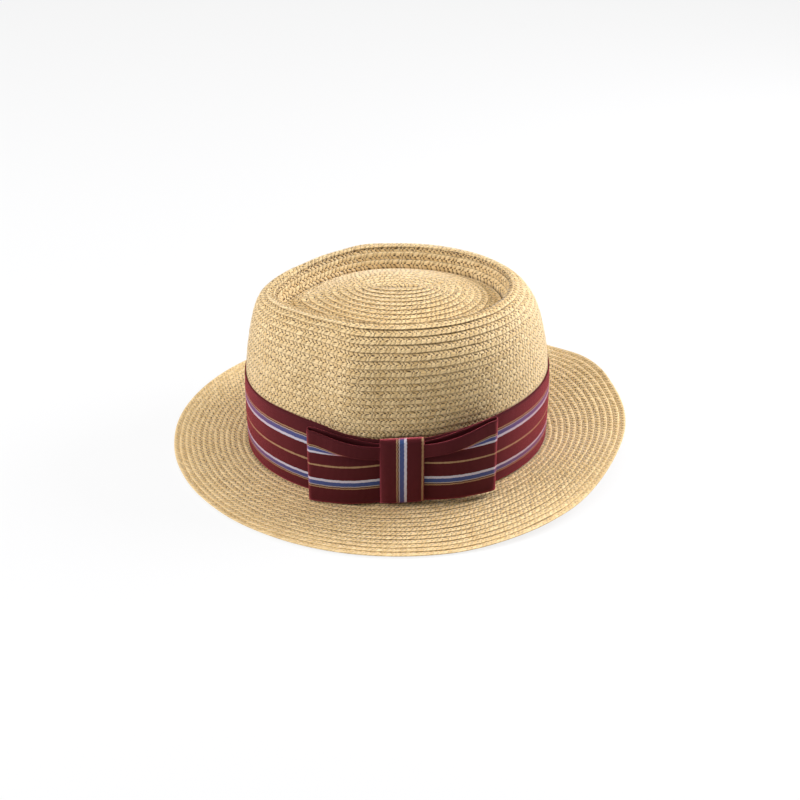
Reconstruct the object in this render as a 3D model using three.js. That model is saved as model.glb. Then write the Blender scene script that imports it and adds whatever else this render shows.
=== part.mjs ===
// A straw fedora with a teardrop telescope crown, a striped ribbon band and a flat ribbon bow.
// Millimetres, +Z up. The front of the hat faces -Y, the bow is on the +X side, the brim rests on Z = 0.
import * as THREE from "three";

// Thicknesses and clearances
const STRAW = 2; // wall of sewn, overlapping braid
const RIBBON = 1; // wall of the woven ribbon
const GAP = 0.3; // clearance between pieces that touch
const AROUND = 60; // sides of every ring round the hat

// Brim
const BRIM_EDGE = { half: 139.5, reach: 155.5 }; // plan oval of the outer edge
const BRIM_DROP = 3.5; // edge below the headline at the front and the sides
const BRIM_FOOT = 0.1; // share of the brim's width, at the edge, that lies flat
const BRIM_STEPS = 6;
const UPTURN_CURL = 1.8; // power of the upturned brim's profile: above 1 it curls upwards
// The edge stands above its resting level in swells. Each is centred turn degrees from the back towards the
// side away from the bow, has its whole rise within full degrees of that and nothing from none degrees on.
const EDGE_SWELLS = [
  { at: "turned-up back", turn: 0, rise: 12, full: 16, none: 46 },
  { at: "lead-in along the sides", turn: 0, rise: 6, full: 36, none: 80 },
  { at: "higher quarter away from the bow", turn: 44, rise: 6, full: 10, none: 36 },
];
const FULL_RISE = EDGE_SWELLS.reduce((sum, swell) => sum + swell.rise, 0);

// Crown: a row for each horizontal section, from the headline over the crest to the centre of the tip.
// up is the height above the headline; half, front and back are the section's reach to the sides, front and
// back; tilt raises the back and lowers the front, per millimetre; nose narrows the front end to a teardrop;
// dent flattens the wall on both sides of the front; dip lowers the front end.
const HEADLINE = BRIM_DROP + STRAW;
const CROWN_AT = { x: 3.6, y: -1 }; // the crown sits a little off the middle of the brim
const CROWN_SECTIONS = [
  { at: "headline", up: 0, half: 83.5, front: 102.5, back: 102, tilt: 0.028, nose: 0, dent: 0, dip: 0 },
  { at: "band top", up: 54, half: 83, front: 102, back: 101.3, tilt: 0.022, nose: 0, dent: 0.04, dip: 0 },
  { at: "wall", up: 88, half: 77.5, front: 97, back: 95.5, tilt: 0.01, nose: 0.02, dent: 0.075, dip: 0.5 },
  { at: "shoulder", up: 106.5, half: 67, front: 91, back: 87.2, tilt: 0, nose: 0.16, dent: 0.07, dip: 3.5 },
  { at: "crest", up: 114.2, half: 56, front: 82.5, back: 76.5, tilt: 0, nose: 0.3, dent: 0.03, dip: 7 },
  { at: "inner wall", up: 109.5, half: 50, front: 77.5, back: 73.5, tilt: 0, nose: 0.42, dent: 0, dip: 6.5 },
  { at: "groove", up: 101.5, half: 45, front: 73, back: 68, tilt: 0, nose: 0.55, dent: 0, dip: 3 },
  { at: "dome edge", up: 104.5, half: 37.5, front: 60, back: 57, tilt: 0, nose: 0.45, dent: 0, dip: 1.5 },
  { at: "dome", up: 110, half: 21, front: 32, back: 32, tilt: 0, nose: 0.15, dent: 0, dip: 0 },
  { at: "centre", up: 112, half: 0, front: 0, back: 0, tilt: 0, nose: 0, dent: 0, dip: 0 },
];
const CROWN_RINGS = [0, 2, 2, 2, 3, 3, 2, 3, 2, 2]; // rings added up to each section
// The dent, by share of the way to the front: a soft ridge, then a flat side that ends at the front
const DENT = { ridge: 0.26, spread: 0.22, proud: 0.28, from: 0.3, flat: 0.56, ease: 0.7 };
const RIBBON_TOP = 1; // index of the section at the ribbon's upper edge

// Bow: flat loops of the band's ribbon that stand straight out along the side of the crown
const BOW_Y = 2; // centre of the knot, along the hat
const BOW_RISE = 0.05; // the bow's back end stands a little higher, per millimetre
const RIBBON_WIDTH = 53;
const BOW_FOOT = HEADLINE + 1.8; // lower edge of the bow
const KNOT = { width: 28, height: 48, wall: 1.2, bulge: 1.6 };
const KNOT_PROFILE = [
  // inner side of the strip from its lower tuck to its upper one, as shares of its depth and height
  { out: 0.1, up: 0 },
  { out: 0.6, up: 0 },
  { out: 0.9, up: 0.015 },
  { out: 1, up: 0.05 },
  { out: 1, up: 0.25 },
  { out: 1, up: 0.5 },
  { out: 1, up: 0.75 },
  { out: 1, up: 0.95 },
  { out: 0.9, up: 0.985 },
  { out: 0.6, up: 1 },
  { out: 0.1, up: 1 },
];
const LOOP_LENGTH = 60; // from the knot's centre to the loop's outer fold
const LOOP_SAG = 9; // how far the outer fold falls back towards the crown
const LOOP_GATHER = 0.86; // height of the loop at the knot, as a share of the ribbon's width
const LOOP_FLARE = 1.4; // how soon the loop opens out to the ribbon's full width
const LAYERS = 2 * RIBBON + GAP; // the loop's two layers where the knot presses them together
const BAND_DIP = { depth: 6, spread: 26 }; // the knot draws the band's upper edge down
const LOOP_STEPS = { back: 5, fold: 4, front: 8, across: 9 };
const LOOP_FOLD = 2.2; // radius of the outer fold
const LOOP_BULGE = 3.2; // swell of the front layer between knot and fold
const PLEAT = { from: 0.62, to: 0.72, depth: 2.2 }; // pinch in the front layer, by share of the width

const COLOURS = { straw: 0xd8b87c, ribbon: 0x5e1421 };

const lerp = THREE.MathUtils.lerp;
const smoothstep = THREE.MathUtils.smoothstep;

// One column of the section table as a smooth function of the row number.
function column(name, t) {
  const row = Math.min(Math.floor(t), CROWN_SECTIONS.length - 2);
  const value = (i) => CROWN_SECTIONS[THREE.MathUtils.clamp(i, 0, CROWN_SECTIONS.length - 1)][name];
  const [before, start, end, after] = [row - 1, row, row + 1, row + 2].map(value);
  const u = t - row;
  const slopeIn = (end - before) / 2;
  const slopeOut = (after - start) / 2;
  const bend = 2 * (start - end) + slopeIn + slopeOut;
  return start + u * (slopeIn + u * (3 * (end - start) - 2 * slopeIn - slopeOut + u * bend));
}

// How far the dent moves the wall, at a share of the way from the side of the hat to its front.
function dentAt(front) {
  const ridge = Math.max(0, 1 - ((front - DENT.ridge) / DENT.spread) ** 2) ** 2;
  const flat = smoothstep(front, DENT.from, DENT.flat) * (1 - smoothstep(front, DENT.ease, 1));
  return DENT.proud * ridge - flat;
}

// A point of the crown's outer surface, at row number t and an angle from the bow side.
function crownPoint(t, angle) {
  const front = Math.max(0, -Math.sin(angle));
  const reach = column(front > 0 ? "front" : "back", t);
  const narrow = 1 - column("nose", t) * front ** 3 + column("dent", t) * dentAt(front);
  const x = column("half", t) * Math.cos(angle) * narrow;
  const y = reach * Math.sin(angle);
  const z = HEADLINE + column("up", t) + column("tilt", t) * y - column("dip", t) * front ** 3;
  return new THREE.Vector3(CROWN_AT.x + x, CROWN_AT.y + y, z);
}

// The crown's surface moved outwards by a distance, or inwards if it is negative.
function crownOffset(t, angle, distance) {
  const step = 0.01;
  const along = crownPoint(t + step, angle).sub(crownPoint(Math.max(0, t - step), angle));
  const around = crownPoint(t, angle + step).sub(crownPoint(t, angle - step));
  const normal = around.cross(along).normalize();
  return crownPoint(t, angle).addScaledVector(normal, distance);
}

const angles = Array.from({ length: AROUND }, (_, i) => (2 * Math.PI * i) / AROUND);
const ringOf = (pointAt) => angles.map(pointAt);

// Triangles collected into an indexed geometry
class Skin {
  points = [];
  faces = [];
  add(point) {
    this.points.push(point.x, point.y, point.z);
    return this.points.length / 3 - 1;
  }
  // Joins two equally long lines of vertices; closed joins their ends as well.
  strip(a, b, closed) {
    const last = closed ? a.length : a.length - 1;
    for (let i = 0; i < last; i++) {
      const next = (i + 1) % a.length;
      this.faces.push(a[i], b[i], b[next], a[i], b[next], a[next]);
    }
  }
  // Joins a closed ring to one vertex; flip turns the faces round.
  fan(ring, centre, flip) {
    ring.forEach((vertex, i) => {
      const next = ring[(i + 1) % ring.length];
      this.faces.push(...(flip ? [centre, next, vertex] : [centre, vertex, next]));
    });
  }
  geometry() {
    const made = new THREE.BufferGeometry();
    made.setAttribute("position", new THREE.Float32BufferAttribute(this.points, 3));
    made.setIndex(this.faces);
    made.computeVertexNormals();
    return made;
  }
}

// A closed solid from rings that follow one another round a wall's cross-section.
function ringSolid(rings) {
  const skin = new Skin();
  const rows = rings.map((ring) => ring.map((point) => skin.add(point)));
  rows.forEach((row, i) => skin.strip(row, rows[(i + 1) % rows.length], true));
  return skin.geometry();
}

// A closed solid from a sheet of points, grid[along][across], thickened on the side of its normal.
function sheetSolid(grid, thickness) {
  const at = (i, j) =>
    grid[THREE.MathUtils.clamp(i, 0, grid.length - 1)][THREE.MathUtils.clamp(j, 0, grid[0].length - 1)];
  const skin = new Skin();
  const lower = grid.map((line) => line.map((point) => skin.add(point)));
  const upper = grid.map((line, i) =>
    line.map((point, j) => {
      const along = at(i + 1, j).clone().sub(at(i - 1, j));
      const across = at(i, j + 1).clone().sub(at(i, j - 1));
      return skin.add(point.clone().addScaledVector(along.cross(across).normalize(), thickness));
    }),
  );
  for (let i = 0; i + 1 < grid.length; i++) {
    skin.strip(lower[i + 1], lower[i], false);
    skin.strip(upper[i], upper[i + 1], false);
    skin.faces.push(lower[i][0], lower[i + 1][0], upper[i + 1][0]);
    skin.faces.push(lower[i][0], upper[i + 1][0], upper[i][0]);
    const end = grid[0].length - 1;
    skin.faces.push(lower[i + 1][end], lower[i][end], upper[i][end]);
    skin.faces.push(lower[i + 1][end], upper[i][end], upper[i + 1][end]);
  }
  skin.strip(lower[0], upper[0], false);
  skin.strip(upper[grid.length - 1], lower[grid.length - 1], false);
  return skin.geometry();
}

// Crown: a wall of braid from the headline over the crest and down into the dented tip.
function crown() {
  const stations = [0];
  CROWN_RINGS.forEach((rings, row) => {
    for (let i = 1; i <= rings; i++) stations.push(row - 1 + i / rings);
  });
  const top = stations.pop();
  const skin = new Skin();
  const addRing = (ring) => ring.map((point) => skin.add(point));
  const foot = (t, angle, point) => (t ? point : point.setZ(crownPoint(0, angle).z + GAP));
  const skinAt = (distance) => (t) =>
    addRing(ringOf((angle) => foot(t, angle, crownOffset(t, angle, distance))));
  const outer = stations.map(skinAt(0));
  const inner = stations.map(skinAt(-STRAW));
  const tip = crownPoint(top, 0);
  const outerTip = skin.add(tip);
  const innerTip = skin.add(tip.clone().setZ(tip.z - STRAW));
  skin.fan(outer.at(-1), outerTip, false);
  skin.fan(inner.at(-1), innerTip, true);
  for (let i = 0; i + 1 < stations.length; i++) {
    skin.strip(outer[i + 1], outer[i], true);
    skin.strip(inner[i], inner[i + 1], true);
  }
  skin.strip(outer[0], inner[0], true);
  return skin.geometry();
}

// How far the brim's edge stands above its resting level at an angle.
function edgeRise(angle) {
  const degrees = THREE.MathUtils.radToDeg(angle);
  return EDGE_SWELLS.reduce((sum, swell) => {
    const away = Math.abs(THREE.MathUtils.euclideanModulo(degrees - 90 - swell.turn + 180, 360) - 180);
    return sum + swell.rise * (1 - smoothstep(away, swell.full, swell.none));
  }, 0);
}

// A point on the brim's upper face, from its inner edge (share 0) to its outer edge (share 1).
function brimPoint(share, angle) {
  const inner = crownOffset(0, angle, -STRAW);
  const head = crownPoint(0, angle).z;
  const x = lerp(inner.x, BRIM_EDGE.half * Math.cos(angle), share);
  const y = lerp(inner.y, BRIM_EDGE.reach * Math.sin(angle), share);
  const rise = edgeRise(angle);
  const lift = rise / FULL_RISE;
  const settled = 1 - (1 - Math.min(1, share / (1 - BRIM_FOOT))) ** 2;
  const curled = share ** UPTURN_CURL;
  const edge = STRAW + rise;
  return new THREE.Vector3(x, y, lerp(head, edge, lerp(settled, curled, lift)));
}

// Brim: a ring of braid that drops to a flat edge and turns up at the back.
function brim() {
  const shares = Array.from({ length: BRIM_STEPS }, (_, i) => (i / (BRIM_STEPS - 1)) * (1 - BRIM_FOOT));
  shares.push(1);
  const upper = shares.map((share) => ringOf((angle) => brimPoint(share, angle)));
  const lower = upper.map((ring) => ring.map((point) => point.clone().setZ(point.z - STRAW)));
  return ringSolid([...upper, ...lower.reverse()]);
}

// How far the knot draws the band's upper edge down at an angle.
function bandDip(angle) {
  const point = crownPoint(RIBBON_TOP, angle);
  const away = (point.y - BOW_Y) / BAND_DIP.spread;
  return point.x > 0 ? BAND_DIP.depth * Math.exp(-away * away) : 0;
}

// Band: the ribbon laid round the foot of the crown.
function band() {
  const levels = [0.02, 0.34, 0.67, 1];
  const height = CROWN_SECTIONS[RIBBON_TOP].up;
  const ringAt = (level, distance) =>
    ringOf((angle) => crownOffset(level * RIBBON_TOP * (1 - bandDip(angle) / height), angle, distance));
  const outer = levels.map((level) => ringAt(level, GAP + RIBBON)).reverse();
  const inner = levels.map((level) => ringAt(level, GAP));
  return ringSolid([...outer, ...inner]);
}

// The plane that the bow's pieces stand on: just clear of the band at the knot.
const bowAngle = Math.asin((BOW_Y - CROWN_AT.y) / CROWN_SECTIONS[0].front);
const bowFace = crownOffset(0.5 * RIBBON_TOP, bowAngle, 2 * GAP + RIBBON).x;

// Share of the pleat's depth at a share of the ribbon's width.
const pleat = (across) => PLEAT.depth * smoothstep(across, PLEAT.from, PLEAT.to);

// Loop: ribbon that runs out from the knot, folds over and comes back in front, on one side of the knot.
function loop(side) {
  const start = 0.5; // from the knot's centre, under the knot
  const reach = LOOP_LENGTH - LOOP_FOLD;
  const path = [];
  for (let i = 0; i < LOOP_STEPS.back; i++) {
    path.push({ out: 0, run: lerp(start, reach, i / LOOP_STEPS.back), swell: 0 });
  }
  for (let i = 0; i < LOOP_STEPS.fold; i++) {
    const turn = (Math.PI * i) / LOOP_STEPS.fold;
    path.push({ out: LOOP_FOLD * (1 - Math.cos(turn)), run: reach + LOOP_FOLD * Math.sin(turn), swell: 0 });
  }
  for (let i = 0; i <= LOOP_STEPS.front; i++) {
    const run = lerp(reach, start, i / LOOP_STEPS.front);
    const share = Math.min(1, (reach - run) / (reach - KNOT.width / 2 - 1));
    path.push({ out: lerp(2 * LOOP_FOLD, LAYERS, share), run, swell: Math.sin(Math.PI * share) });
  }
  const grid = path.map(({ out, run, swell }) =>
    Array.from({ length: LOOP_STEPS.across + 1 }, (_, j) => {
      const across = j / LOOP_STEPS.across;
      const far = run / LOOP_LENGTH;
      const height = RIBBON_WIDTH * lerp(LOOP_GATHER, 1, Math.min(1, LOOP_FLARE * far * far));
      const y = BOW_Y + side * run;
      const x = bowFace + out - LOOP_SAG * far * far + swell * (LOOP_BULGE + pleat(across));
      return new THREE.Vector3(x, y, BOW_FOOT + across * height + BOW_RISE * (y - BOW_Y));
    }),
  );
  return sheetSolid(side > 0 ? grid : grid.map((line) => line.slice().reverse()), RIBBON);
}

// Knot: a strip that wraps round the loops and tucks in above and below them.
function knot() {
  const depth = LAYERS + 2 * GAP;
  const foot = BOW_FOOT - 2 * GAP;
  const profile = KNOT_PROFILE.map(({ out, up }) => ({ out: out * depth, up: foot + up * KNOT.height }));
  const middle = foot + KNOT.height / 2;
  const columns = 5;
  const grid = profile.map(({ out, up }) =>
    Array.from({ length: columns }, (_, j) => {
      const y = BOW_Y + KNOT.width * (0.5 - j / (columns - 1));
      const bulge = KNOT.bulge * Math.max(0, 1 - ((2 * (up - middle)) / KNOT.height) ** 2);
      return new THREE.Vector3(bowFace + out + bulge, y, up + BOW_RISE * (y - BOW_Y));
    }),
  );
  return sheetSolid(grid, KNOT.wall);
}

// The pieces, each a named mesh
function piece(name, geometry, colour, roughness) {
  const material = new THREE.MeshStandardMaterial({ color: colour, roughness, metalness: 0 });
  const mesh = new THREE.Mesh(geometry, material);
  mesh.name = name;
  return mesh;
}

const hat = new THREE.Group();
hat.add(piece("crown", crown(), COLOURS.straw, 0.8));
hat.add(piece("brim", brim(), COLOURS.straw, 0.8));
hat.add(piece("band", band(), COLOURS.ribbon, 0.65));
hat.add(piece("bow_loop_front", loop(-1), COLOURS.ribbon, 0.65));
hat.add(piece("bow_loop_back", loop(1), COLOURS.ribbon, 0.65));
hat.add(piece("bow_knot", knot(), COLOURS.ribbon, 0.65));

export default hat;
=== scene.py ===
# A straw fedora in sewn braid with a striped ribbon band and bow, on a pale floor.
import math

import bpy
import numpy as np
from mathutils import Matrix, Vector


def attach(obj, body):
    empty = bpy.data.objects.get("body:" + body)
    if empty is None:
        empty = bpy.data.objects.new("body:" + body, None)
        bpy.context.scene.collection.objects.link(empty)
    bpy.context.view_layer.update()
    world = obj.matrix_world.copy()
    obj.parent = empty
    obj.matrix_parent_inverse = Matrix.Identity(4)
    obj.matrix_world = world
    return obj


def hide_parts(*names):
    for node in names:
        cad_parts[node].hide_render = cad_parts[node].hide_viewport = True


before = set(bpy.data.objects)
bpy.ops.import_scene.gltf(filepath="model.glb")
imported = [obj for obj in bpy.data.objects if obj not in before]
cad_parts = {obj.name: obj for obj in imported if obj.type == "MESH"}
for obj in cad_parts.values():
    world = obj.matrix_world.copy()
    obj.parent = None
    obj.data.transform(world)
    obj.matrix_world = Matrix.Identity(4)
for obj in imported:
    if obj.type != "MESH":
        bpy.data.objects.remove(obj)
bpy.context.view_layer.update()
MM = 0.001
TURN = 2 * math.pi

# Sizes in millimetres, as in the part's source
STRAW = 2.0
GAP = 0.3
HEADLINE = 5.5
CROWN_AT = (3.6, -1.0)
BRIM_HALF, BRIM_REACH = 139.5, 155.5
BRIM_FOOT = 0.1  # share of the brim, at its edge, that lies flat
UPTURN_CURL = 1.8
# Swells of the brim's edge: degrees from the back, rise, and degrees to each side where it is whole and ends
EDGE_SWELLS = ((0.0, 12.0, 16.0, 46.0), (0.0, 6.0, 36.0, 80.0), (44.0, 6.0, 10.0, 36.0))
# Crown sections: height, half width, reach to front and back, tilt, narrowing of the nose, dent, nose's dip
UP, HALF, FRONT, BACK, TILT, NOSE, DENT, DIP = range(8)
CROWN_SECTIONS = np.array([
    (0.0, 83.5, 102.5, 102.0, 0.028, 0.0, 0.0, 0.0),  # headline
    (54.0, 83.0, 102.0, 101.3, 0.022, 0.0, 0.04, 0.0),  # band top
    (88.0, 77.5, 97.0, 95.5, 0.01, 0.02, 0.075, 0.5),  # wall
    (106.5, 67.0, 91.0, 87.2, 0.0, 0.16, 0.07, 3.5),  # shoulder
    (114.2, 56.0, 82.5, 76.5, 0.0, 0.3, 0.03, 7.0),  # crest
    (109.5, 50.0, 77.5, 73.5, 0.0, 0.42, 0.0, 6.5),  # inner wall
    (101.5, 45.0, 73.0, 68.0, 0.0, 0.55, 0.0, 3.0),  # groove
    (104.5, 37.5, 60.0, 57.0, 0.0, 0.45, 0.0, 1.5),  # dome edge
    (110.0, 21.0, 36.0, 36.0, 0.0, 0.15, 0.0, 0.0),  # dome
    (112.0, 0.6, 13.0, 14.0, 0.0, 0.0, 0.0, 0.0),  # centre seam
])
CENTRE = len(CROWN_SECTIONS) - 1
# The dent, by share of the way to the front: its ridge, the ridge's spread and height, and its flat side
DENT_RIDGE, DENT_SPREAD, DENT_PROUD = 0.26, 0.22, 0.28
DENT_FROM, DENT_FLAT, DENT_EASE = 0.3, 0.56, 0.7

# Steps for the slopes of the surfaces: round the hat, up the crown's sections and across the brim
ROUND_STEP, CROWN_STEP, BRIM_STEP = 0.004, 0.004, 0.01

# Braid
CROWN_PITCH, CROWN_WIDTH = 4.6, 6.3
SEAM_ROW, HEAD_ROW = 2.4, 1.6  # first row from the centre seam, last row from the headline
BRIM_PITCH, BRIM_WIDTH = 4.25, 6.0
BRIM_WIDE = 55.6  # mean width of the brim, along its surface
EDGE_PAST, FIRST_ROW = 0.2, 0.5  # how far the last row passes the edge, least place of the first one
CALM_ROWS = 4  # rows at the brim's edge whose painted shade is weaker
OVERLAP = 1.37  # width of the braid over the rows' spacing
PLAIT = 3.1  # length of one plait along the braid
STATION = 2.0  # spacing of the mesh along the braid
ROW_PLAITS = 512  # room for one row in the pattern's count of plaits
SINK = 0.1  # the braid's top face below the crown's and the brim's surface
SHIFT, LIFT, WIDEN = 0.12, 0.06, 0.012  # unevenness of a row: to the side, in height, share of its width
# Cross-section of the braid: share of its width across, height, and place in its pattern
ACROSS, RAISED, PLACE = range(3)
BRAID = np.array([
    (-0.50, -1.45, 0.0),
    (-0.34, -1.0, 0.16),
    (-0.14, -0.62, 0.36),
    (0.08, -0.34, 0.58),
    (0.22, -0.2, 0.72),
    (0.33, -0.02, 0.83),
    (0.43, 0.0, 0.93),
    (0.50, -0.36, 1.0),
    (0.44, -0.85, 1.06),
    (-0.10, -1.6, 1.6),
])
PATTERN_END = 2.0  # place in the pattern where the underside comes back to the top's inner edge

# Ribbon
RIBBON = 0.6
RIB = 0.75  # spacing of the ribbon's woven ribs
RIBBON_WIDTH = 53.0
BAND_TALL = CROWN_SECTIONS[1, UP]
BAND_FROM = 0.012  # share of the band's height left clear above the brim
BAND_OFF = GAP + 0.2  # the band's middle off the crown
BAND_PUFF, BAND_WAVE = 0.25, 0.12
BAND_DIP, BAND_DIP_SPREAD = 8.0, 52.0
BOW_Y = 2.0
BOW_RISE = 0.065
BOW_FOOT = HEADLINE + 1.8
BOW_OFF = 2 * GAP + 1.0  # the loops' back layers off the crown
LAYERS = 2.3  # depth of a loop where the knot presses it
LOOP_LENGTH, LOOP_SAG, LOOP_FOLD = 60.0, 9.0, 2.2
LOOP_START = 1.0
LOOP_SWELL, LOOP_FLAT = 2.2, 0.25  # bulge of a loop's front, and how much less of it there is at the edges
LOWER_HALF, UPPER_HALF = 29.0, 25.0  # the bow's ribbon below and above its middle line
# The pleat, by share across the ribbon: where it starts and ends, how much is folded away, and its relief
PLEAT_FROM, PLEAT_TO, PLEAT_SHARE = 0.665, 0.82, 0.64
PLEAT_PROUD, PLEAT_HOLLOW = 4.2, 1.6
HOLLOW_AT, HOLLOW_SPREAD = PLEAT_FROM - 0.02, 0.07
PLEAT_EASE = 0.3  # how far the pleat's upper edge lies back
PLEAT_RUN = LOOP_LENGTH - 4.0  # the pleat runs out here, from the knot
KNOT_WIDTH, KNOT_HEIGHT = 28.0, 48.0
KNOT_DEPTH, KNOT_CORNER = LAYERS + 1.5, 2.0
KNOT_BULGE, KNOT_ROUND = 1.6, 1.2
KNOT_DROP = 0.6  # below the loops
KNOT_STRIPES = (0.01, 0.51)  # the ribbon's share that shows: where it starts and how wide it is

rng = np.random.default_rng(7)


def smoothstep(x, low, high):
    u = np.clip((x - low) / (high - low), 0, 1)
    return u * u * (3 - 2 * u)


def column(k, t):
    """A column of the section table as a smooth function of the section number."""
    value = CROWN_SECTIONS[:, k]
    row = np.clip(np.floor(t).astype(int), 0, CENTRE - 1)
    before, start = value[np.maximum(row - 1, 0)], value[row]
    end, after = value[row + 1], value[np.minimum(row + 2, CENTRE)]
    u = t - row
    a, b = (end - before) / 2, (after - start) / 2
    return start + u * (a + u * (3 * (end - start) - 2 * a - b + u * (2 * (start - end) + a + b)))


def dent_at(front):
    ridge = np.maximum(0, 1 - ((front - DENT_RIDGE) / DENT_SPREAD) ** 2) ** 2
    flat = smoothstep(front, DENT_FROM, DENT_FLAT) * (1 - smoothstep(front, DENT_EASE, 1))
    return DENT_PROUD * ridge - flat


def crown_point(t, angle):
    t, angle = np.broadcast_arrays(np.asarray(t, float), np.asarray(angle, float))
    s = np.sin(angle)
    front = np.maximum(0, -s)
    x = column(HALF, t) * np.cos(angle) * (1 - column(NOSE, t) * front**3 + column(DENT, t) * dent_at(front))
    y = np.where(s < 0, column(FRONT, t), column(BACK, t)) * s
    z = HEADLINE + column(UP, t) + column(TILT, t) * y - column(DIP, t) * front**3
    return np.stack([CROWN_AT[0] + x, CROWN_AT[1] + y, z], -1)


def brim_point(share, angle):
    share, angle = np.broadcast_arrays(np.asarray(share, float), np.asarray(angle, float))
    head = crown_point(0.0, angle)
    x = head[..., 0] + (BRIM_HALF * np.cos(angle) - head[..., 0]) * share
    y = head[..., 1] + (BRIM_REACH * np.sin(angle) - head[..., 1]) * share
    rise = 0
    for turn, whole, full, none in EDGE_SWELLS:
        away = np.abs((np.degrees(angle) - 90 - turn + 180) % 360 - 180)
        rise = rise + whole * (1 - smoothstep(away, full, none))
    lift = rise / sum(swell[1] for swell in EDGE_SWELLS)
    settled = 1 - (1 - np.minimum(1, share / (1 - BRIM_FOOT))) ** 2
    blend = settled + (np.abs(share) ** UPTURN_CURL - settled) * lift
    return np.stack([x, y, head[..., 2] + (STRAW + rise - head[..., 2]) * blend], -1)


def directions(surface, t, angle, step):
    """Unit vectors across the rows and square to the surface, at points of it."""
    across = surface(t + step, angle) - surface(t - step, angle)
    along = surface(t, angle + ROUND_STEP) - surface(t, angle - ROUND_STEP)
    across /= np.linalg.norm(across, axis=-1, keepdims=True)
    normal = np.cross(across, along)
    return across, normal / np.linalg.norm(normal, axis=-1, keepdims=True)


def path_length(points):
    """Length along a line of points, from its start to each of them."""
    return np.concatenate([[0], np.cumsum(np.linalg.norm(np.diff(points, axis=0), axis=1))])


def new_object(name, points, faces, uv, material, uv_name):
    mesh = bpy.data.meshes.new(name)
    mesh.from_pydata((points * MM).tolist(), [], faces.tolist())
    layer = mesh.uv_layers.new(name=uv_name)
    layer.data.foreach_set("uv", uv.reshape(-1).astype(np.float32))
    mesh.polygons.foreach_set("use_smooth", [True] * len(mesh.polygons))
    mesh.materials.append(material)
    mesh.validate()
    obj = bpy.data.objects.new(name, mesh)
    bpy.context.collection.objects.link(obj)
    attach(obj, "root")
    return obj


def wobble(angle, size):
    """A small closed wave of a few random turns round a row."""
    turns = rng.integers(3, 24, 4)
    phases = rng.uniform(0, TURN, 4)
    return size * sum(np.sin(n * angle + p) for n, p in zip(turns, phases)) / 2


def row_points(rows, number, surface, step, width, angle):
    """Points of one row, a cross-section of the braid at each angle."""
    base = surface(rows[number], angle)
    across, normal = directions(surface, np.full(len(angle), rows[number]), angle, step)
    shift, lift = wobble(angle, SHIFT), wobble(angle, LIFT)
    # Where the rows lie further apart the braid is wider, so that no gap opens
    neighbours = (max(number - 1, 0), min(number + 1, len(rows) - 1))
    apart = [np.linalg.norm(surface(rows[other], angle) - base, axis=1) for other in neighbours]
    wide = np.maximum(width, np.maximum(*apart) * OVERLAP) * (1 + wobble(angle, WIDEN))
    offset = BRAID[None, :, ACROSS] * wide[:, None] + shift[:, None]
    height = BRAID[None, :, RAISED] + lift[:, None] - SINK
    points = base[:, None] + across[:, None] * offset[..., None] + normal[:, None] * height[..., None]
    return points.reshape(-1, 3)


def row_faces(n, plaits, first, calm_offset):
    """Faces of one row of n cross-sections, and their corners' places in the braid's pattern."""
    k = len(BRAID)
    i, j = np.meshgrid(np.arange(n), np.arange(k), indexing="ij")
    i2, j2 = (i + 1) % n, (j + 1) % k
    faces = np.stack([i * k + j, i * k + j2, i2 * k + j2, i2 * k + j], -1)
    u0, u1 = first + i * plaits / n, first + (i + 1) * plaits / n
    v0 = calm_offset + BRAID[j, PLACE]
    v1 = calm_offset + np.where(j + 1 < k, BRAID[j2, PLACE], PATTERN_END)
    corners = ((u0, v0), (u0, v1), (u1, v1), (u1, v0))
    uv = np.stack([np.stack(corner, -1) for corner in corners], -2)
    return faces.reshape(-1, 4), uv.reshape(-1, 2)


def braid_rows(name, rows, surface, step, width, calm=0):
    """Closed rows of flat braid, each over the next one outwards; rows holds each row's place on the surface.
    The last few rows, calm in all, get weaker painted shade: their place in the pattern is raised by twos."""
    points, faces, uvs = [], [], []
    count = 0
    fine = np.linspace(0, TURN, 2881)
    for number, t in enumerate(rows):
        run = path_length(surface(t, fine))
        length = run[-1]
        n = max(24, int(length / STATION))
        # Cross-sections evenly spaced along the row
        angle = np.interp(np.arange(n) * length / n, run, fine)
        points.append(row_points(rows, number, surface, step, width, angle))
        calm_offset = PATTERN_END * max(0, number + 1 + calm - len(rows))
        quads, uv = row_faces(n, round(length / PLAIT), number * ROW_PLAITS, calm_offset)
        faces.append(count + quads)
        uvs.append(uv)
        count += len(points[-1])
    points, faces, uvs = (np.concatenate(lists) for lists in (points, faces, uvs))
    return new_object(name, points, faces, uvs, straw, "braid")


def ribbon_solid(name, grid, uv, closed=False):
    """A ribbon from a grid of points, grid[along, across], thickened to both sides.
    uv holds the millimetres along it and the share across it."""
    if closed:
        along = np.roll(grid, -1, 0) - np.roll(grid, 1, 0)
    else:
        along = np.gradient(grid, axis=0)
    normal = np.cross(along, np.gradient(grid, axis=1))
    normal *= RIBBON / 2 / np.linalg.norm(normal, axis=-1, keepdims=True)
    points = np.concatenate([(grid + normal).reshape(-1, 3), (grid - normal).reshape(-1, 3)])
    under = grid.shape[0] * grid.shape[1]
    index = np.arange(under).reshape(grid.shape[:2])
    if closed:
        index = np.concatenate([index, index[:1]])
    top = np.stack([index[:-1, :-1], index[1:, :-1], index[1:, 1:], index[:-1, 1:]], -1).reshape(-1, 4)
    rims = [index[:, 0], index[::-1, -1]]
    if not closed:
        rims += [index[0, ::-1], index[-1]]
    faces = [top, top[:, ::-1] + under]
    for rim in rims:
        a, b = rim[:-1], rim[1:]
        faces.append(np.stack([a, a + under, b + under, b], -1))
    faces = np.concatenate(faces)
    flat = np.concatenate([uv.reshape(-1, 2)] * 2)
    return new_object(name, points, faces, flat[faces].reshape(-1, 2), ribbon, "ribbon")


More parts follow.
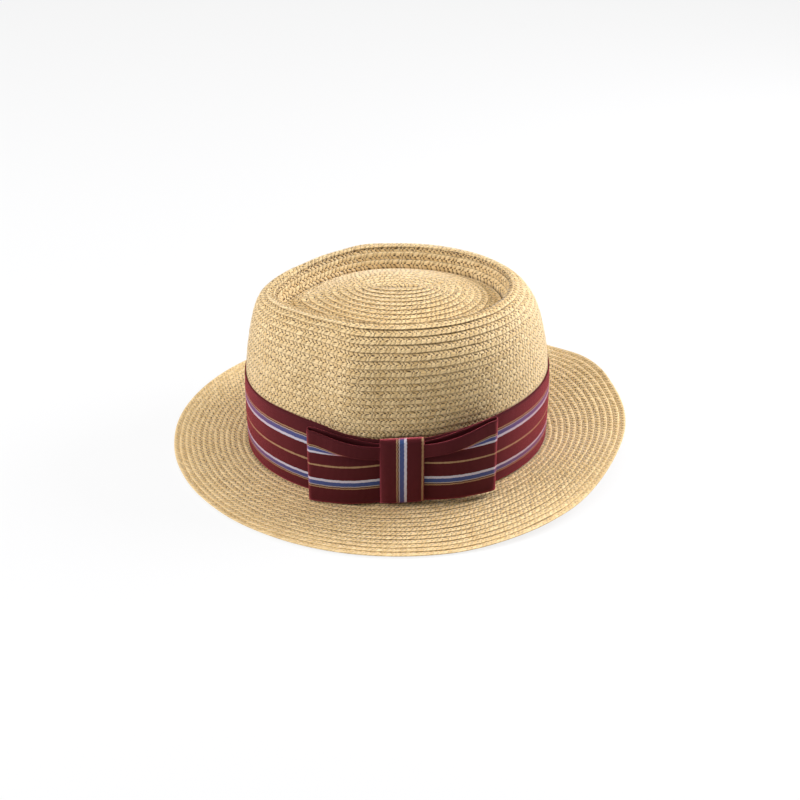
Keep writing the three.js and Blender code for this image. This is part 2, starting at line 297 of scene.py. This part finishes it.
class Graph:
    """A node material under construction."""

    def __init__(self, name, roughness, specular):
        self.material = bpy.data.materials.new(name)
        self.material.use_nodes = True
        self.tree = self.material.node_tree
        self.shader = self.tree.nodes["Principled BSDF"]
        self.set("Roughness", roughness)
        self.set("Specular IOR Level", specular)

    def set(self, name, value):
        """Gives one of the shader's own sockets a value, or links it."""
        self.put(self.shader.inputs[name], value)

    def put(self, socket, value):
        if isinstance(value, bpy.types.NodeSocket):
            self.tree.links.new(value, socket)
        else:
            socket.default_value = value

    def node(self, kind, inputs=(), **settings):
        made = self.tree.nodes.new("ShaderNode" + kind)
        for key, value in settings.items():
            setattr(made, key, value)
        for key, value in dict(inputs).items():
            self.put(made.inputs[key], value)
        return made

    def math(self, operation, *values):
        return self.node("Math", dict(enumerate(values)), operation=operation).outputs[0]

    def add(self, a, b):
        return self.math("ADD", a, b)

    def less(self, a, b):
        return self.math("SUBTRACT", a, b)

    def times(self, a, b):
        return self.math("MULTIPLY", a, b)

    def line(self, value, slope, start):
        return self.math("MULTIPLY_ADD", value, slope, start)

    def most(self, a, b):
        return self.math("MAXIMUM", a, b)

    def rest(self, value):
        """What is left of one."""
        return self.less(1.0, value)

    def apart(self, value, place):
        """Distance of a value from a place."""
        return self.math("ABSOLUTE", self.less(value, place))

    def wave(self, value):
        """Humps of unit length."""
        return self.math("ABSOLUTE", self.math("SINE", self.times(value, math.pi)))

    def smooth(self, value, low, high):
        limits = {"Value": value, "From Min": low, "From Max": high}
        return self.node("MapRange", limits, interpolation_type="SMOOTHSTEP").outputs[0]

    def noise(self, vector, scale=1.0, detail=3.0):
        return self.node("TexNoise", {"Vector": vector, "Scale": scale, "Detail": detail}).outputs[0]

    def mix(self, factor, a, b):
        return self.node("Mix", {0: factor, 6: a, 7: b}, data_type="RGBA").outputs[2]

    def uv(self, name):
        parts = self.node("SeparateXYZ", {0: self.node("UVMap", uv_map=name).outputs[0]})
        return parts.outputs[0], parts.outputs[1]

    def vector(self, x, y):
        return self.node("CombineXYZ", {0: x, 1: y}).outputs[0]

    def bump(self, height, distance, strength):
        made = self.node("Bump", {"Height": height, "Distance": distance, "Strength": strength})
        self.set("Normal", made.outputs[0])


def linear(c):
    return ((c / 255 + 0.055) / 1.055) ** 2.4 if c > 10 else c / 255 / 12.92


def rgb(red, green, blue):
    """A linear colour from screen values."""
    return linear(red), linear(green), linear(blue), 1


def straw_material():
    g = Graph("straw_braid", 0.55, 0.45)
    u, v = g.uv("braid")
    # The calm rows at the brim's edge get less painted shade
    strength = g.rest(g.times(g.math("FLOOR", g.times(v, 1 / PATTERN_END)), 0.16))
    v = g.math("PINGPONG", v, PATTERN_END / 2)
    # Plaits are of uneven length
    drift = g.node("TexNoise", {"W": u, "Scale": 0.7, "Detail": 1.0}, noise_dimensions="1D").outputs[0]
    u = g.line(drift, 1.1, u)
    # Strands slant towards the middle of the braid from both sides
    middle_line = 0.56
    side = g.math("GREATER_THAN", v, middle_line)
    reach = g.apart(v, middle_line)
    phase = g.add(g.line(reach, 1.3, u), g.times(side, 0.5))
    across = g.math("ABSOLUTE", g.line(g.math("FRACT", phase), 2.0, -1.0))
    crown = g.rest(g.math("POWER", across, 2.4))
    gap = g.smooth(across, 0.45, 0.96)
    # A raised cord runs along the outer edge of each row
    cord = g.smooth(v, 0.74, 0.82)
    twist = g.wave(g.line(v, 2.0, u))
    strand = g.vector(g.math("FLOOR", phase), side)
    tone = g.node("TexWhiteNoise", {"Vector": strand}, noise_dimensions="2D").outputs[0]
    fibre = g.noise(g.vector(g.times(phase, 11.0), g.times(reach, 4.0)))
    patch = g.noise(g.node("TexCoord").outputs["Object"], 30.0)
    # Painted shade: small dark holes where strands cross, and a painted shadow line where a row comes out
    # from under the one before
    middle = g.rest(g.smooth(reach, 0.07, 0.2))
    hole_shade = g.times(gap, g.line(middle, 0.66, 0.34))
    tuck = g.rest(g.smooth(v, 0.22, 0.42))
    tuck_shadow = g.times(tuck, g.line(gap, 0.78, 0.26))
    # Painted shade in the cord's notch at each plait, and a painted shadow along each row's outer edge
    notch_shade = g.times(cord, g.smooth(twist, 0.55, 0.0))
    rim = g.times(g.smooth(v, 0.93, 1.0), g.line(gap, 0.6, 0.35))
    shade = g.most(g.times(hole_shade, g.rest(g.times(cord, 0.5))), tuck_shadow)
    shade = g.most(g.most(shade, g.times(notch_shade, 0.6)), rim)
    # The painted shade of the rows' lines comes and goes along the braid
    uneven = g.line(g.noise(g.vector(g.times(u, 0.3), v), detail=2.0), 1.1, 0.5)
    shade = g.times(g.math("MINIMUM", 1.0, g.times(uneven, shade)), strength)
    light = g.mix(tone, rgb(214, 180, 122), rgb(243, 214, 160))
    light = g.mix(g.times(fibre, 0.5), light, rgb(200, 164, 104))
    light = g.mix(g.times(g.smooth(patch, 0.35, 0.75), 0.3), light, rgb(220, 184, 122))
    # The raised cord is painted lighter: a painted highlight
    light = g.mix(g.times(cord, 0.2), light, rgb(244, 217, 166))
    # The painted shade darkens the straw towards brown
    g.set("Base Color", g.mix(shade, light, rgb(78, 52, 18)))
    g.set("Roughness", g.line(fibre, 0.3, 0.45))
    g.set("Sheen Weight", 0.3)
    g.set("Sheen Roughness", 0.4)
    relief = g.line(g.times(twist, cord), 0.5, g.times(crown, g.rest(cord)))
    g.bump(g.line(fibre, 0.3, relief), 0.0006, 0.9)
    return g.material


def ribbon_material():
    g = Graph("striped_ribbon", 0.75, 0.15)
    along, across = g.uv("ribbon")
    # The stripes mirror about the ribbon's middle, and their edges are ragged from rib to rib
    ribs = g.times(along, 1 / RIB)
    ragged = g.node("TexWhiteNoise", {"W": g.math("FLOOR", ribs)}, noise_dimensions="1D").outputs[0]
    middle = g.line(g.less(ragged, 0.5), 0.005, g.apart(across, 0.5))
    burgundy, tan, cream = rgb(72, 9, 15), rgb(180, 146, 104), rgb(196, 184, 168)
    white, blue, dark = rgb(222, 220, 230), rgb(54, 90, 146), rgb(46, 10, 16)
    stops = (
        (0.0, tan), (0.009, burgundy), (0.176, white), (0.209, blue), (0.258, cream),
        (0.27, dark), (0.284, tan), (0.298, burgundy),
    )
    ramp = g.node("ValToRGB", {0: middle})
    ramp.color_ramp.interpolation = "CONSTANT"
    elements = ramp.color_ramp.elements
    while len(elements) < len(stops):
        elements.new(0.5)
    for element, (place, colour) in zip(elements, stops):
        element.position, element.color = place, colour
    rib = g.wave(ribs)
    weave = g.noise(g.vector(g.times(along, 1.6), g.times(across, 40.0)))
    # Painted shade in the grooves between the woven ribs
    colour = g.mix(g.times(g.rest(rib), 0.3), ramp.outputs[0], rgb(36, 8, 12))
    g.set("Base Color", g.mix(g.times(weave, 0.4), colour, rgb(56, 13, 19)))
    g.set("Sheen Weight", 1.0)
    g.set("Sheen Roughness", 0.38)
    g.set("Sheen Tint", rgb(255, 115, 126))
    g.bump(g.line(weave, 0.3, rib), 0.00025, 0.7)
    return g.material


def crown_downward(t, angle):
    """The crown by falling section number, so that its rows run outwards from the centre."""
    return crown_point(np.clip(-np.asarray(t), 0, CENTRE), angle)


def build_crown():
    """Rows of braid, evenly spaced down the crown's profile from the centre seam to the headline."""
    fine = np.linspace(CENTRE, 0, 4000)
    profile = np.mean([path_length(crown_point(fine, a)) for a in (0.0, math.pi / 2, -math.pi / 2)], axis=0)
    row_count = round((profile[-1] - SEAM_ROW - HEAD_ROW) / CROWN_PITCH) + 1
    rows = np.interp(np.linspace(SEAM_ROW, profile[-1] - HEAD_ROW, row_count), profile, fine)
    crown = braid_rows("straw_crown", -rows, crown_downward, CROWN_STEP, CROWN_WIDTH)
    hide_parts("crown")


def build_brim():
    """Rows of braid from the headline out to the edge."""
    places = np.arange(BRIM_WIDE - BRIM_WIDTH / 2 + EDGE_PAST, FIRST_ROW, -BRIM_PITCH)[::-1]
    brim = braid_rows("straw_brim", places / BRIM_WIDE, brim_point, BRIM_STEP, BRIM_WIDTH, CALM_ROWS)
    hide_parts("brim")


def build_band():
    """Ribbon round the foot of the crown, drawn down at the knot."""
    angle = np.linspace(0, TURN, 420, endpoint=False)[:, None]
    level = np.linspace(BAND_FROM, 1.0, 22)
    edge = crown_point(1.0, angle[:, 0])
    drawn = BAND_DIP * np.exp(-(((edge[:, 1] - BOW_Y) / BAND_DIP_SPREAD) ** 2))
    dip = np.where(edge[:, 0] > 0, drawn, 0)
    t = level * (1 - dip[:, None] / BAND_TALL)
    _, inwards = directions(crown_point, t, np.broadcast_to(angle, t.shape), CROWN_STEP)
    puff = BAND_PUFF * np.sin(math.pi * level) + BAND_WAVE * np.sin(5 * angle + 1) * level
    grid = crown_point(t, angle) - inwards * (BAND_OFF + puff[..., None])
    uv = np.stack(np.broadcast_arrays(path_length(edge)[:, None], 1 - level), -1)
    band = ribbon_solid("ribbon_band", grid, uv, closed=True)
    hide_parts("band")


def build_loop(name, node, side):
    """A loop of the bow: a back layer, the fold at its end, and a front layer, pleated towards the knot."""
    knot_side = KNOT_WIDTH / 2
    reach = LOOP_LENGTH - LOOP_FOLD
    # Way out from the band, way along from the knot, and share of the front layer's way back to the knot
    back = [(0.0, r, 0.0) for r in np.linspace(LOOP_START, reach, 16, endpoint=False)]
    turn = np.linspace(0, math.pi, 10, endpoint=False)
    fold = [(LOOP_FOLD * (1 - math.cos(a)), reach + LOOP_FOLD * math.sin(a), 0.0) for a in turn]
    front = []
    for r in np.linspace(reach, LOOP_START, 40):
        share = min(1.0, (reach - r) / (reach - knot_side - 1))
        front.append((2 * LOOP_FOLD + (LAYERS - 2 * LOOP_FOLD) * share, r, share))
    out, run, share = np.array(back + fold + front).T[..., None]
    pleat_lines = np.linspace(PLEAT_FROM - 0.05, PLEAT_TO + 0.05, 26)
    across = np.unique(np.concatenate([np.linspace(0, 1, 30), pleat_lines]))

    # The pleat is deepest at the knot
    deep = 1 - np.clip((run - knot_side) / (PLEAT_RUN - knot_side), 0, 1) ** 1.2
    ramp = np.clip((across - PLEAT_FROM) / (PLEAT_TO - PLEAT_FROM), 0, 1)
    level = 2 * (LOWER_HALF * np.minimum(across, 0.5) + UPPER_HALF * np.maximum(across - 0.5, 0))
    folded = RIBBON_WIDTH * 2 * (PLEAT_TO - PLEAT_FROM) * PLEAT_SHARE * deep * ramp
    laid_back = PLEAT_EASE * np.clip((across - PLEAT_TO) / (1 - PLEAT_TO), 0, 1)
    rolled = smoothstep(across, PLEAT_FROM, PLEAT_TO) * (1 - laid_back)
    shown = deep * np.clip(share * 3, 0, 1)
    proud = PLEAT_PROUD * shown * (0.5 + 0.5 * np.sin(math.pi * share)) * rolled
    hollow = PLEAT_HOLLOW * shown * np.exp(-(((across - HOLLOW_AT) / HOLLOW_SPREAD) ** 2))
    swell = LOOP_SWELL * np.sin(math.pi * share) * (1 - LOOP_FLAT * (2 * across - 1) ** 2)

    x = bow_face + out - LOOP_SAG * (run / LOOP_LENGTH) ** 2 + swell + proud - hollow
    y = BOW_Y + side * run
    z = BOW_FOOT + level - folded + BOW_RISE * (y - BOW_Y)
    grid = np.stack(np.broadcast_arrays(x, y, z), -1)
    along = path_length(np.hstack([run, out]))[:, None]
    uv = np.stack(np.broadcast_arrays(along, 1 - across), -1)
    if side < 0:
        grid, uv = grid[:, ::-1], uv[:, ::-1]
    obj = ribbon_solid(name, grid, uv)
    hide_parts(node)


def build_knot():
    """Ribbon folded to half its width, wrapped round the middle of the bow."""
    foot = BOW_FOOT - KNOT_DROP
    top = foot + KNOT_HEIGHT
    flat = KNOT_DEPTH - KNOT_CORNER
    bend = [(KNOT_CORNER * math.sin(a), KNOT_CORNER * math.cos(a)) for a in np.linspace(0, math.pi / 2, 7)]
    path = [(GAP, foot)]
    path += [(flat + s, foot + KNOT_CORNER - c) for s, c in bend]
    path += [(KNOT_DEPTH, foot + h) for h in np.linspace(KNOT_CORNER, KNOT_HEIGHT - KNOT_CORNER, 20)[1:-1]]
    path += [(flat + c, top - KNOT_CORNER + s) for s, c in bend]
    path += [(GAP, top)]
    out, up = np.array(path).T[..., None]
    wide = np.linspace(-0.5, 0.5, 25)
    bulge = KNOT_BULGE * np.clip(1 - ((up - foot) / KNOT_HEIGHT * 2 - 1) ** 2, 0, 1)
    x = bow_face + out + bulge - KNOT_ROUND * np.abs(2 * wide) ** 6 * out / KNOT_DEPTH
    y = BOW_Y + KNOT_WIDTH * wide
    z = up + BOW_RISE * (y - BOW_Y)
    grid = np.stack(np.broadcast_arrays(x, y, z), -1)
    along = path_length(np.array(path))[:, None]
    start, share = KNOT_STRIPES
    uv = np.stack(np.broadcast_arrays(along, start + share * (wide + 0.5)), -1)
    knot = ribbon_solid("ribbon_knot", grid[:, ::-1], uv[:, ::-1])
    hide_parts("bow_knot")


straw, ribbon = straw_material(), ribbon_material()
build_crown()
build_brim()
build_band()
bow_turn = math.asin((BOW_Y - CROWN_AT[1]) / CROWN_SECTIONS[0, FRONT])
bow_face = crown_point(0.5, bow_turn)[0] + BOW_OFF
build_loop("ribbon_loop_front", "bow_loop_front", -1)
build_loop("ribbon_loop_back", "bow_loop_back", 1)
build_knot()


# Stage and light, in metres
FLOOR, WALL_RADIUS, WALL_HEIGHT = 40, 18, 30
GLOW = 0.82
COOL, WARM = (0.98, 0.99, 1.06), (1.0, 0.99, 0.95)
AIM = Vector((0.0, 0.0, 0.06))
AMBIENT = 0.1


def stage(name):
    """Makes the object that was just added a pale part of the stage."""
    obj = bpy.context.object
    obj.name = name
    g = Graph("pale_" + name, 0.9, 0.1)
    cloud = g.node("TexNoise", {"Scale": 2.0, "Detail": 2.0}).outputs[0]
    g.set("Base Color", g.mix(cloud, rgb(96, 96, 96), rgb(100, 100, 100)))
    g.set("Emission Color", (1, 1, 1, 1))
    g.set("Emission Strength", GLOW)
    obj.data.materials.append(g.material)
    return obj


def area(name, place, size, power, tint):
    lamp = bpy.data.lights.new(name, "AREA")
    lamp.shape, lamp.size, lamp.energy = "DISK", size, power
    lamp.color = tint
    obj = bpy.data.objects.new(name, lamp)
    obj.location = place
    obj.rotation_euler = (AIM - Vector(place)).to_track_quat("-Z", "Y").to_euler()
    bpy.context.collection.objects.link(obj)


# A wide floor, and a far round wall behind it that lights nothing
bpy.ops.mesh.primitive_plane_add(size=FLOOR)
stage("floor")
bpy.ops.mesh.primitive_cylinder_add(
    vertices=96, radius=WALL_RADIUS, depth=WALL_HEIGHT, end_fill_type="NOTHING"
)
wall = stage("backdrop")
wall.active_material.cycles.emission_sampling = "NONE"
wall.visible_diffuse = wall.visible_glossy = wall.visible_transmission = wall.visible_shadow = False

area("left", (0.32, -1.3, 0.64), 0.8, 19.5, COOL)
area("right", (-0.2, 0.74, 0.48), 0.5, 10.3, COOL)
area("top", (-0.1, 0.0, 1.7), 1.6, 20, WARM)
world = bpy.data.worlds.new("studio")
world.use_nodes = True
background = world.node_tree.nodes["Background"]
background.inputs["Color"].default_value = (1, 1, 1, 1)
background.inputs["Strength"].default_value = AMBIENT
bpy.context.scene.world = world
bpy.context.scene.view_settings.view_transform = "Standard"

# Camera, looking down at the bow's side; its focal length and the middle of its view are in pixels
PICTURE, SENSOR = 800, 36
ELEVATION, DISTANCE, FOCAL = math.radians(31.62), 975.8, 1438.1
VIEW_MIDDLE = (397.3, 372.6)
TARGET_UP = HEADLINE + 45.0
target = Vector((*CROWN_AT, TARGET_UP)) * MM
lens = bpy.data.cameras.new("camera")
lens.lens = SENSOR * FOCAL / PICTURE
lens.shift_x = (PICTURE / 2 - VIEW_MIDDLE[0]) / PICTURE
lens.shift_y = (VIEW_MIDDLE[1] - PICTURE / 2) / PICTURE
camera = bpy.data.objects.new("camera", lens)
towards = Vector((math.cos(ELEVATION), 0, math.sin(ELEVATION)))
camera.location = target + towards * DISTANCE * MM
camera.rotation_euler = (-towards).to_track_quat("-Z", "Y").to_euler()
bpy.context.collection.objects.link(camera)
bpy.context.scene.camera = camera
